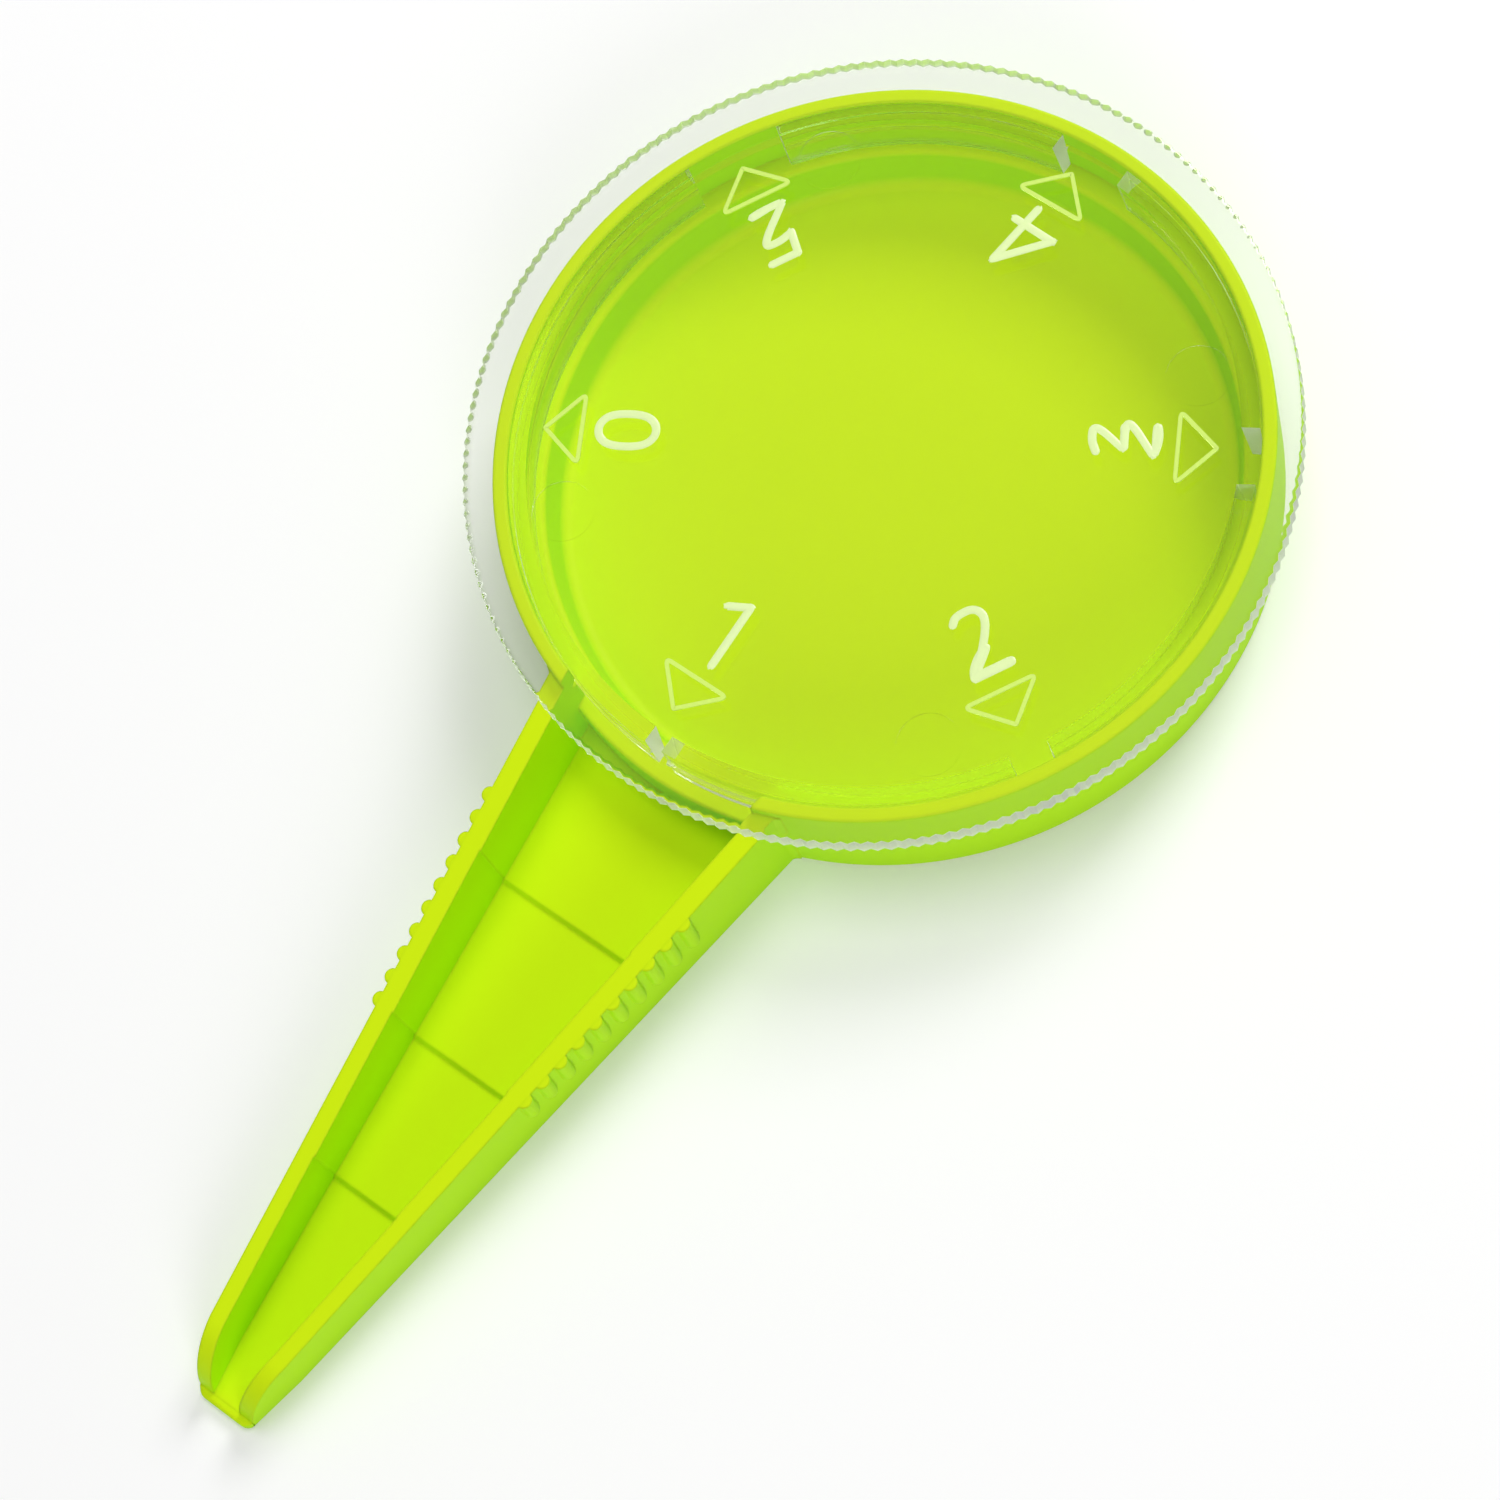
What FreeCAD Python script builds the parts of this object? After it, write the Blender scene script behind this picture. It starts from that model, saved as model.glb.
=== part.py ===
import FreeCAD, Part
import math
import os

# Dial seed sower: a round seed tray with an open chute for a handle, and a clear dial lid that
# turns in the tray's rim.  Lengths are millimetres, angles are degrees.
# The origin is on the dial's axis, in the plane of the flat base.  +Z is up, -Y runs along the chute.

# Round tray
RIM_RADIUS = 40.2            # outside of the rim, at its top
RIM_HEIGHT = 13.9
RIM_WALL = 1.55
RIM_EDGE_BEVEL = 0.35        # outer edge of the rim's top
TRAY_DRAFT = 0.8             # the tray's side leans out by this towards the top
BASE_EDGE_CHAMFER = 0.3
TRAY_FLOOR = 2.0
TRAY_FLOOR_BEVEL = 1.2
WELL_LEAN = 0.9              # how far the seed well narrows from the ledge down to its floor
LEDGE_HEIGHT = 7.0           # the ledge closes the gap under the dial's skirt
LEDGE_WIDTH = 2.35
LEDGE_EDGE_BEVEL = 0.6
SILL_EDGE_BEVEL = 0.4        # edge over which the seeds drop into the chute

# Chute, which is also the handle
CHUTE_REACH = 116.2          # from the dial's axis to the tip
CHUTE_ROOT_WIDTH = 27.1      # outside, at the base plane, level with the rim
CHUTE_BEND_WIDTH = 9.2       # outside, where the sides turn in towards the tip
CHUTE_TIP_WIDTH = 6.6
CHUTE_NOSE_LENGTH = 7.0      # the last stretch, from the bend to the tip
CHUTE_BEND_RADIUS = 60.0
CHUTE_DRAFT = 2.1
CHUTE_WALL = 2.2
CHUTE_ROOT_HEIGHT = 12.4     # top of the walls at the rim
CHUTE_TIP_HEIGHT = 6.1       # top of the walls at the tip, before they round down
CHUTE_FLOOR = 2.3
CHUTE_BLEND_RADIUS = 1.5     # between the chute's sides and the tray
TIP_LIP = 0.7                # the floor runs on past the ends of the walls
TIP_ROUND_RADIUS = 7.5       # the walls' tops round down to the lip
TIP_CORNER_RADIUS = 0.9
TIP_INNER_RADIUS = 1.0       # inner edges of the walls' ends
STEP_DROP = 0.4              # each step in the chute's floor
STEP_WIDENING = 0.13         # each step also sets the inner faces of the walls back
STEP_PLACES = (56.4, 74.6, 90.7)

# Finger ribs outside both walls
RIB_COUNT = 10
RIB_PITCH = 2.56
RIB_RADIUS = 0.85
RIB_PROUD = 0.7
RIB_START = 51.2             # first rib, from the dial's axis
RIB_FOOT_HEIGHT = 5.7

# Dial lid
DIAL_OVERHANG = 2.8
DIAL_THICKNESS = 2.4
DIAL_EDGE_BEVEL = 0.3
SERRATION_PITCH = 1.35
SERRATION_DEPTH = 0.4
SKIRT_CLEARANCE = 0.2        # running clearance in the rim
SKIRT_FOOT_CLEARANCE = 0.25  # above the ledge
SKIRT_ROOT_THICKNESS = 1.85
SKIRT_FOOT_THICKNESS = 1.25
SNAP_BEAD_PROUD = 0.35
SNAP_BEAD_DEPTH = 3.2        # below the top of the rim

# Settings of the dial: 1 stands at the chute, and the last one has no window
SETTING_COUNT = 6
SMALLEST_WINDOW = 2.1
WINDOW_GROWTH = 2.0

# Raised triangle at each setting
POINTER_APEX_RADIUS = 34.6
POINTER_LENGTH = 4.25
POINTER_WIDTH = 8.5
POINTER_CORNER_RADIUS = 0.55
POINTER_APEX_ROUNDING = 0.3
POINTER_LINE_WIDTH = 0.6
POINTER_PROUD = 0.25

# Worked out from the sizes above
SEAT_RADIUS = RIM_RADIUS - RIM_WALL
LEDGE_RADIUS = SEAT_RADIUS - LEDGE_WIDTH
BEND_REACH = CHUTE_REACH - CHUTE_NOSE_LENGTH
SKIRT_RADIUS = SEAT_RADIUS - SKIRT_CLEARANCE
SKIRT_FOOT_HEIGHT = LEDGE_HEIGHT + SKIRT_FOOT_CLEARANCE
DIAL_RADIUS = RIM_RADIUS + DIAL_OVERHANG
DIAL_TOP = RIM_HEIGHT + DIAL_THICKNESS
SNAP_HEIGHT = RIM_HEIGHT - SNAP_BEAD_DEPTH
CUT_MARGIN = 1.0             # how far a cutting shape runs past what it cuts
TOUCHING = 0.001             # two places this close are the same


def point(x, y, z=0.0):
    return FreeCAD.Vector(x, y, z)


# ---- Outlines, as lists of (corner, rounding radius) ----

def rounding(before, corner, after, radius):
    """Start, middle and end of the arc that rounds a corner."""
    to_before = (before - corner).normalize()
    to_after = (after - corner).normalize()
    half_angle = to_before.getAngle(to_after) / 2
    bisector = (to_before + to_after).normalize()
    run = radius / math.tan(half_angle)
    middle = corner + bisector * (radius / math.sin(half_angle) - radius)
    return corner + to_before * run, middle, corner + to_after * run


def outline(corners, bevelled=False):
    """Closed wire through the corners, each rounded by its radius, or cut off straight there."""
    places = [place for place, radius in corners]
    bends = []
    for index, (place, radius) in enumerate(corners):
        if radius > 0:
            after = places[(index + 1) % len(places)]
            bends.append(rounding(places[index - 1], place, after, radius))
        else:
            bends.append((place, place, place))
    edges = []
    for index, (start, middle, end) in enumerate(bends):
        if start != end and bevelled:
            edges.append(Part.LineSegment(start, end).toShape())
        elif start != end:
            edges.append(Part.Arc(start, middle, end).toShape())
        following = bends[(index + 1) % len(bends)][0]
        edges.append(Part.LineSegment(end, following).toShape())
    return Part.Wire(edges)


def outward(start, end):
    """Direction away from the inside, across one side of an anticlockwise outline."""
    run = (end - start).normalize()
    return point(run.y, -run.x)


def grown(corners, distance):
    """The same anticlockwise outline with every side moved outwards, and its rounding to match."""
    places = [place for place, radius in corners]
    moved = []
    for index, (place, radius) in enumerate(corners):
        before = outward(places[index - 1], place)
        after = outward(place, places[(index + 1) % len(places)])
        new_place = place + (before + after) * (distance / (1 + before.dot(after)))
        moved.append((new_place, max(0.0, radius + distance) if radius else 0.0))
    return moved


def raised(corners, height):
    return [(place + point(0, 0, height), radius) for place, radius in corners]


def spun(corners):
    """Solid made by turning a bevelled outline in the XZ plane about the dial's axis."""
    return Part.Face(outline(corners, bevelled=True)).revolve(point(0, 0), point(0, 0, 1), 360)


def snap_ring(proud):
    """Ring of square section, set on edge halfway into the outside of the dial's skirt."""
    return spun([
        (point(SKIRT_RADIUS - proud, 0, SNAP_HEIGHT), 0),
        (point(SKIRT_RADIUS, 0, SNAP_HEIGHT - proud), 0),
        (point(SKIRT_RADIUS + proud, 0, SNAP_HEIGHT), 0),
        (point(SKIRT_RADIUS, 0, SNAP_HEIGHT + proud), 0),
    ])


def slab(corners, half_width):
    """Solid made by widening an outline in the YZ plane both ways along X."""
    face = Part.Face(outline(corners))
    face.translate(point(-half_width, 0))
    return face.extrude(point(2 * half_width, 0))


# ---- Seed tray ----

def tray_side_radius(height):
    return RIM_RADIUS - (RIM_HEIGHT - height) * math.tan(math.radians(TRAY_DRAFT))


def tray_outside():
    return spun([
        (point(0, 0, 0), 0),
        (point(tray_side_radius(0), 0, 0), 0),
        (point(RIM_RADIUS, 0, RIM_HEIGHT), RIM_EDGE_BEVEL),
        (point(0, 0, RIM_HEIGHT), 0),
    ])


def seed_well():
    """The seat for the dial's skirt with its snap groove, the ledge, and the well for the seeds."""
    over = RIM_HEIGHT + CUT_MARGIN
    well = spun([
        (point(0, 0, TRAY_FLOOR), 0),
        (point(LEDGE_RADIUS - WELL_LEAN, 0, TRAY_FLOOR), TRAY_FLOOR_BEVEL),
        (point(LEDGE_RADIUS, 0, LEDGE_HEIGHT), LEDGE_EDGE_BEVEL),
        (point(SEAT_RADIUS, 0, LEDGE_HEIGHT), 0),
        (point(SEAT_RADIUS, 0, over), 0),
        (point(0, 0, over), 0),
    ])
    return well.fuse(snap_ring(SNAP_BEAD_PROUD + 2 * SKIRT_CLEARANCE))


def sill():
    """The foot of the tray's side that stays standing in the gate to the chute."""
    return spun([
        (point(0, 0, -CUT_MARGIN), 0),
        (point(tray_side_radius(-CUT_MARGIN), 0, -CUT_MARGIN), 0),
        (point(tray_side_radius(LEDGE_HEIGHT), 0, LEDGE_HEIGHT), SILL_EDGE_BEVEL),
        (point(0, 0, LEDGE_HEIGHT), 0),
    ])


# ---- Chute ----

def chute_half_width(reach):
    """Half the outside width at the base plane: straight to the bend, then narrowing to the tip."""
    if reach < BEND_REACH:
        share = (reach - RIM_RADIUS) / (BEND_REACH - RIM_RADIUS)
        return (CHUTE_ROOT_WIDTH + (CHUTE_BEND_WIDTH - CHUTE_ROOT_WIDTH) * share) / 2
    share = (reach - BEND_REACH) / CHUTE_NOSE_LENGTH
    return (CHUTE_BEND_WIDTH + (CHUTE_TIP_WIDTH - CHUTE_BEND_WIDTH) * share) / 2


def chute_plan(end, end_radius):
    """The chute's outside at the base plane, from inside the tray to a given reach."""
    stations = [(LEDGE_RADIUS, 0), (BEND_REACH, CHUTE_BEND_RADIUS), (end, end_radius)]
    left = [(point(-chute_half_width(reach), -reach), radius) for reach, radius in stations]
    right = [(point(chute_half_width(reach), -reach), radius) for reach, radius in stations]
    return left + right[::-1]


def drafted(plan, inset):
    """Solid with the plan's outline, set in from it and widening upwards by the draft."""
    sections = []
    for height in (0.0, RIM_HEIGHT + CUT_MARGIN):
        lean = height * math.tan(math.radians(CHUTE_DRAFT))
        sections.append(outline(raised(grown(plan, lean - inset), height)))
    return Part.makeLoft(sections, True, True)


def chute_top_height(reach):
    share = (reach - RIM_RADIUS) / (CHUTE_REACH - RIM_RADIUS)
    return CHUTE_ROOT_HEIGHT + (CHUTE_TIP_HEIGHT - CHUTE_ROOT_HEIGHT) * share


def chute_profile(end, end_radius):
    """Side view of the chute: tops that slope to the end of the walls, and may round down there."""
    return [
        (point(0, -end, -CHUTE_ROOT_HEIGHT), 0),
        (point(0, -LEDGE_RADIUS, -CHUTE_ROOT_HEIGHT), 0),
        (point(0, -LEDGE_RADIUS, chute_top_height(LEDGE_RADIUS)), 0),
        (point(0, -end, chute_top_height(end)), end_radius),
    ]


def finger_rib(side, reach):
    """Half-round rib that leans with the chute's side, taller than the wall it stands on."""
    lean = math.tan(math.radians(CHUTE_DRAFT))
    sunk = RIB_RADIUS - RIB_PROUD
    foot_x = chute_half_width(reach) + RIB_FOOT_HEIGHT * lean - sunk
    foot = point(side * foot_x, -reach, RIB_FOOT_HEIGHT)
    return Part.makeCylinder(RIB_RADIUS, RIM_HEIGHT, foot, point(side * lean, 0, 1))


def channel_stretch(index):
    """The open channel from one step in the floor to the next, with a sloping riser at its start."""
    starts = (LEDGE_RADIUS,) + STEP_PLACES
    ends = STEP_PLACES + (CHUTE_REACH + CUT_MARGIN,)
    floor = channel_floor(index)
    over = RIM_HEIGHT + CUT_MARGIN
    upper_floor = floor + STEP_DROP if index else floor
    riser_foot = starts[index] + STEP_DROP
    profile = [
        (point(0, -starts[index], over), 0),
        (point(0, -starts[index], upper_floor), 0),
        (point(0, -riser_foot, floor), 0),
        (point(0, -ends[index], floor), 0),
        (point(0, -ends[index], over), 0),
    ]
    past_tip = CHUTE_REACH + 2 * CUT_MARGIN
    inset = CHUTE_WALL - STEP_WIDENING * index
    return drafted(chute_plan(past_tip, 0), inset).common(slab(profile, CHUTE_ROOT_WIDTH))


def channel_floor(index):
    return CHUTE_FLOOR - STEP_DROP * index


def wall_end_inner_edges(shape, walls_end):
    """The upright edges between the channel and the ends of the walls."""
    return [
        edge for edge in shape.Edges
        if abs(edge.BoundBox.YMin + walls_end) < TOUCHING
        and edge.BoundBox.ZLength > edge.BoundBox.XLength + edge.BoundBox.YLength
        and abs(edge.BoundBox.Center.x) < chute_half_width(walls_end) - CHUTE_WALL / 2
    ]


def chute():
    """Ribbed walls with rounded ends, on a floor that runs on past them as a lip."""
    block = drafted(chute_plan(CHUTE_REACH, TIP_CORNER_RADIUS), 0.0)
    ribs = [
        finger_rib(side, RIB_START + RIB_PITCH * index)
        for side in (-1, 1)
        for index in range(RIB_COUNT)
    ]
    stretches = range(len(STEP_PLACES) + 1)
    walls_end = CHUTE_REACH - TIP_LIP
    walls = block.fuse(ribs).cut([channel_stretch(index) for index in stretches])
    walls = walls.common(slab(chute_profile(walls_end, 0), CHUTE_ROOT_WIDTH))
    walls = walls.makeFillet(TIP_INNER_RADIUS, wall_end_inner_edges(walls, walls_end))
    walls = walls.common(slab(chute_profile(walls_end, TIP_ROUND_RADIUS), CHUTE_ROOT_WIDTH))
    tip_floor = channel_floor(len(STEP_PLACES))
    lip_zone = Part.makeBox(CHUTE_ROOT_WIDTH, 2 * TIP_ROUND_RADIUS, tip_floor,
                            point(-CHUTE_ROOT_WIDTH / 2, -CHUTE_REACH - TIP_ROUND_RADIUS))
    return walls.fuse(block.common(lip_zone))


def is_blend_corner(box):
    """True for the upright edges where the chute's sides meet the tray's side."""
    upright = box.ZMin < TOUCHING and box.ZLength > box.XLength + box.YLength
    return upright and -RIM_RADIUS < box.YMin < -RIM_RADIUS / 2


def blended(shape):
    """Rounds the two corners between chute and tray, then breaks the whole edge of the base."""
    corners = [edge for edge in shape.Edges if is_blend_corner(edge.BoundBox)]
    shape = shape.makeFillet(CHUTE_BLEND_RADIUS, corners)
    base_edges = [edge for edge in shape.Edges if edge.BoundBox.ZMax < TOUCHING]
    return shape.makeChamfer(BASE_EDGE_CHAMFER, base_edges)


def seed_tray():
    body = blended(tray_outside().fuse(chute()).removeSplitter())
    gate = channel_stretch(0).cut(sill())
    return body.cut([seed_well(), gate]).removeSplitter()


# ---- Dial lid ----

def setting_angle(index):
    return index * 360.0 / SETTING_COUNT


def turned(shape, angle):
    shape.rotate(point(0, 0), point(0, 0, 1), angle)
    return shape


def serrated_outline(radius, height):
    count = round(2 * math.pi * DIAL_RADIUS / SERRATION_PITCH)
    places = []
    for index in range(2 * count):
        angle = math.pi * index / count
        reach = radius - SERRATION_DEPTH * (index % 2)
        places.append(point(reach * math.cos(angle), reach * math.sin(angle), height))
    return Part.makePolygon(places + places[:1])


def dial_plate():
    return Part.makeLoft([
        serrated_outline(DIAL_RADIUS, RIM_HEIGHT),
        serrated_outline(DIAL_RADIUS, DIAL_TOP - DIAL_EDGE_BEVEL),
        serrated_outline(DIAL_RADIUS - DIAL_EDGE_BEVEL, DIAL_TOP),
    ], True, True)


def skirt():
    """Ring under the plate that runs inside the rim, with the bead that snaps into its groove."""
    ring = spun([
        (point(SKIRT_RADIUS - SKIRT_FOOT_THICKNESS, 0, SKIRT_FOOT_HEIGHT), 0),
        (point(SKIRT_RADIUS, 0, SKIRT_FOOT_HEIGHT), 0),
        (point(SKIRT_RADIUS, 0, RIM_HEIGHT), 0),
        (point(SKIRT_RADIUS - SKIRT_ROOT_THICKNESS, 0, RIM_HEIGHT), 0),
    ])
    return ring.fuse(snap_ring(SNAP_BEAD_PROUD))


def window(index):
    """Cut through the skirt that lets seeds of one size out to the chute."""
    width = SMALLEST_WINDOW + WINDOW_GROWTH * index
    inner = SKIRT_RADIUS - SKIRT_ROOT_THICKNESS - CUT_MARGIN
    height = RIM_HEIGHT - SKIRT_FOOT_HEIGHT + CUT_MARGIN
    corner = point(-width / 2, -DIAL_RADIUS, SKIRT_FOOT_HEIGHT - CUT_MARGIN)
    return turned(Part.makeBox(width, DIAL_RADIUS - inner, height, corner), setting_angle(index))


def pointer(index):
    """Raised outline of a triangle that points outwards."""
    base = POINTER_APEX_RADIUS - POINTER_LENGTH
    middle_line = [
        (point(-POINTER_WIDTH / 2, -base), POINTER_CORNER_RADIUS),
        (point(0, -POINTER_APEX_RADIUS), POINTER_APEX_ROUNDING),
        (point(POINTER_WIDTH / 2, -base), POINTER_CORNER_RADIUS),
    ]
    outside = Part.Face(outline(grown(middle_line, POINTER_LINE_WIDTH / 2)))
    inside = Part.Face(outline(grown(middle_line, -POINTER_LINE_WIDTH / 2)))
    ridge = outside.cut(inside).extrude(point(0, 0, POINTER_PROUD))
    ridge.translate(point(0, 0, DIAL_TOP))
    return turned(ridge, setting_angle(index))


def dial_lid():
    ring = skirt().cut([window(index) for index in range(SETTING_COUNT - 1)])
    pointers = [pointer(index) for index in range(SETTING_COUNT)]
    return dial_plate().fuse([ring] + pointers).removeSplitter()


os.makedirs("parts", exist_ok=True)
for name, make in (("seed_tray", seed_tray), ("dial_lid", dial_lid)):
    shape = make()
    print(name, "valid", shape.isValid(), "solids", len(shape.Solids), "volume", round(shape.Volume, 1))
    shape.exportStep("parts/" + name + ".step")
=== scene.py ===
"""Dial seed sower: a green moulded tray and chute under a clear dial lid, dressed on the CAD frame.

Sizes are millimetres and turn into metres where a mesh is made.  +Z is up, -Y runs along the chute.
"""

import logging
import math
from contextlib import contextmanager
from dataclasses import dataclass
from enum import Enum
from typing import Callable, Iterator, Sequence

import bpy
from mathutils import Matrix, Vector


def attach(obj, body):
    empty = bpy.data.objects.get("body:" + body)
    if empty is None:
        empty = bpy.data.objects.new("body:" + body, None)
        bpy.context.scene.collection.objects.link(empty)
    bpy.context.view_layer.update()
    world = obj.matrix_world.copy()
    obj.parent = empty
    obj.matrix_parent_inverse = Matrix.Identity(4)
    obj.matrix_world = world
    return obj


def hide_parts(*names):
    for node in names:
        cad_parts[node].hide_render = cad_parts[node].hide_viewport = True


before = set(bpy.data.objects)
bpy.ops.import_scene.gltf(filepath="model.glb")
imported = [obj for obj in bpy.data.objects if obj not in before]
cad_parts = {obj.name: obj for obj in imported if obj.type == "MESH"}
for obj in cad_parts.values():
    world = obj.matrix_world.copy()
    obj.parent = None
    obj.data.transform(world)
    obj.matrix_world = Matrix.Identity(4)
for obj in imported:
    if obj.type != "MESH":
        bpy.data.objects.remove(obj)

LOG = logging.getLogger("dial_seed_sower")
Colour = tuple[float, float, float]
Place = tuple[float, float, float]
Piece = bpy.types.Object
Tree = bpy.types.NodeTree
Wire = tuple[bpy.types.Node, str | int, bpy.types.Node, str | int]

MM = 0.001  # metres
NEAR = 1e-6  # metres within which two places are the same
ROW_DIGITS = 6  # decimals of a metre that tell two rows of points apart
SLACK = 0.01  # millimetres by which a height may be missed when points are picked
UPRIGHT = 0.1  # millimetres by which an upright edge may lean
LEVEL = 0.99  # share of a normal from which a face counts as level
FLAT = 0.9  # share of a normal from which a face is too flat for a tooth
FACING = 0.5  # share of a normal from which a face counts as facing a way
WHITE = (1.0, 1.0, 1.0, 1.0)
LEVELLING = 100  # how much large flat faces even out the shading


# ---- Modelling ----

class Solid(Enum):
    """How one solid changes another."""

    JOIN = "UNION"
    CUT = "DIFFERENCE"


class Element(Enum):
    """What can be picked in edit mode."""

    POINT = "VERT"
    EDGE = "EDGE"
    FACE = "FACE"


class Keep(Enum):
    """What a plane leaves of a mesh that it cuts."""

    ALL = "all"
    ABOVE = "above"
    BELOW = "below"


def deselect_all() -> None:
    """Leaves nothing selected and nothing active."""
    bpy.ops.object.select_all(action="DESELECT")
    bpy.context.view_layer.objects.active = None


def take(piece: Piece) -> None:
    """Makes one piece the only selected and active one.

    Args:
        piece: The object to work on.
    """
    deselect_all()
    piece.select_set(True)
    bpy.context.view_layer.objects.active = piece


@contextmanager
def editing(piece: Piece) -> Iterator[None]:
    """Opens a piece in edit mode with nothing selected, and closes it afterwards.

    Args:
        piece: The mesh object to edit.
    """
    take(piece)
    bpy.ops.object.mode_set(mode="EDIT")
    bpy.ops.mesh.select_mode(type="FACE")
    bpy.ops.mesh.select_all(action="DESELECT")
    try:
        yield
    finally:
        bpy.ops.object.mode_set(mode="OBJECT")


@contextmanager
def picking(element: Element) -> Iterator[None]:
    """Clears the selection and leaves edit mode for as long as elements are picked.

    Args:
        element: What is picked.
    """
    bpy.ops.mesh.select_mode(type=element.value)
    bpy.ops.mesh.select_all(action="DESELECT")
    bpy.ops.object.mode_set(mode="OBJECT")
    yield
    bpy.ops.object.mode_set(mode="EDIT")


def pick_faces(piece: Piece, wanted: Callable[[bpy.types.MeshPolygon], bool]) -> None:
    """Selects the faces that pass a test, in edit mode.

    Args:
        piece: The piece that is being edited.
        wanted: Test on a face's centre, normal or corners.
    """
    with picking(Element.FACE):
        for face in piece.data.polygons:
            face.select = wanted(face)


def pick_edges(piece: Piece, wanted: Callable[[Vector], bool], upright: bool | None = None) -> None:
    """Selects the edges whose two ends both pass a test, in edit mode.

    Args:
        piece: The piece that is being edited.
        wanted: Test on the place of an end.
        upright: Whether the edges stand upright; None takes both kinds.
    """
    with picking(Element.EDGE):
        points = piece.data.vertices
        for edge in piece.data.edges:
            first, second = (points[index].co for index in edge.vertices)
            stands = (first - second).xy.length < UPRIGHT * MM
            edge.select = wanted(first) and wanted(second) and upright in (None, stands)


def pick_points(piece: Piece, wanted: Callable[[Vector], bool]) -> None:
    """Selects the points that pass a test, in edit mode.

    Args:
        piece: The piece that is being edited.
        wanted: Test on a point's place.
    """
    with picking(Element.POINT):
        for point in piece.data.vertices:
            point.select = wanted(point.co)


def slice_all(place: Place, normal: Place = (0, 0, 1), keep: Keep = Keep.ALL) -> None:
    """Cuts the edited piece with a plane and closes it where a side is taken away.

    Args:
        place: A point of the plane, in millimetres.
        normal: Direction in which the plane's upper side faces.
        keep: What is left.
    """
    bpy.ops.mesh.select_all(action="SELECT")
    bpy.ops.mesh.bisect(
        plane_co=[value * MM for value in place], plane_no=normal, use_fill=keep != Keep.ALL,
        clear_inner=keep == Keep.ABOVE, clear_outer=keep == Keep.BELOW)


def widen(factor: float) -> None:
    """Scales the selection about the dial's axis, which leaves heights as they are."""
    bpy.ops.transform.resize(value=(factor, factor, 1), center_override=(0, 0, 0))


def bevel(width: float, segments: int = 3, points: bool = False) -> None:
    """Bevels the selected edges, or the selected points, by a width in millimetres."""
    bpy.ops.mesh.bevel(offset=width * MM, segments=segments, affect="VERTICES" if points else "EDGES")


def cylinder(steps: int, radius: float, foot: float, head: float) -> Piece:
    """Adds a cylinder on the dial's axis.

    Args:
        steps: Number of its sides.
        radius: Its radius.
        foot: Height of its lower face.
        head: Height of its upper face.

    Returns:
        The cylinder, with its place in its mesh.
    """
    bpy.ops.mesh.primitive_cylinder_add(
        vertices=steps, radius=radius * MM, depth=(head - foot) * MM,
        location=(0, 0, (foot + head) / 2 * MM))
    bpy.ops.object.transform_apply(location=True)
    return bpy.context.object


def modify(piece: Piece, kind: str, **settings: object) -> None:
    """Adds a modifier to a piece and applies it.

    Args:
        piece: The mesh object.
        kind: Type of the modifier.
        **settings: The modifier's own settings.
    """
    take(piece)
    modifier = piece.modifiers.new(kind.lower(), kind)
    for name, value in settings.items():
        setattr(modifier, name, value)
    bpy.ops.object.modifier_apply(modifier=modifier.name)


def combine(piece: Piece, other: Piece, how: Solid) -> None:
    """Joins or cuts a piece with another one, which is used up.

    Args:
        piece: The mesh object that is kept.
        other: The mesh object that is joined on or cut away.
        how: Whether it is joined on or cut away.
    """
    modify(piece, "BOOLEAN", operation=how.value, solver="EXACT", object=other)
    bpy.data.objects.remove(other, do_unlink=True)


# ---- Finishes ----

def add_node(tree: Tree, kind: str, values: dict[str | int, object] | None = None,
             **settings: object) -> bpy.types.Node:
    """Adds a node to a material, a world or a node group.

    Args:
        tree: The node tree.
        kind: Type of the node, without its prefix.
        values: Values of its inputs, by name or by place.
        **settings: Values of its own settings.

    Returns:
        The node.
    """
    node = tree.nodes.new(f"ShaderNode{kind}")
    for name, value in settings.items():
        setattr(node, name, value)
    set_values(node, values or {})
    return node


def set_values(node: bpy.types.Node, values: dict[str | int, object]) -> None:
    """Sets inputs of a node.

    Args:
        node: The node.
        values: Values of its inputs, by name or by place.
    """
    for name, value in values.items():
        node.inputs[name].default_value = value


def add_wires(tree: Tree, wires: Sequence[Wire]) -> None:
    """Links nodes.

    Args:
        tree: The node tree.
        wires: The links, each from a node's output to a node's input.
    """
    for source, output, target, given in wires:
        tree.links.new(source.outputs[output], target.inputs[given])


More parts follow.
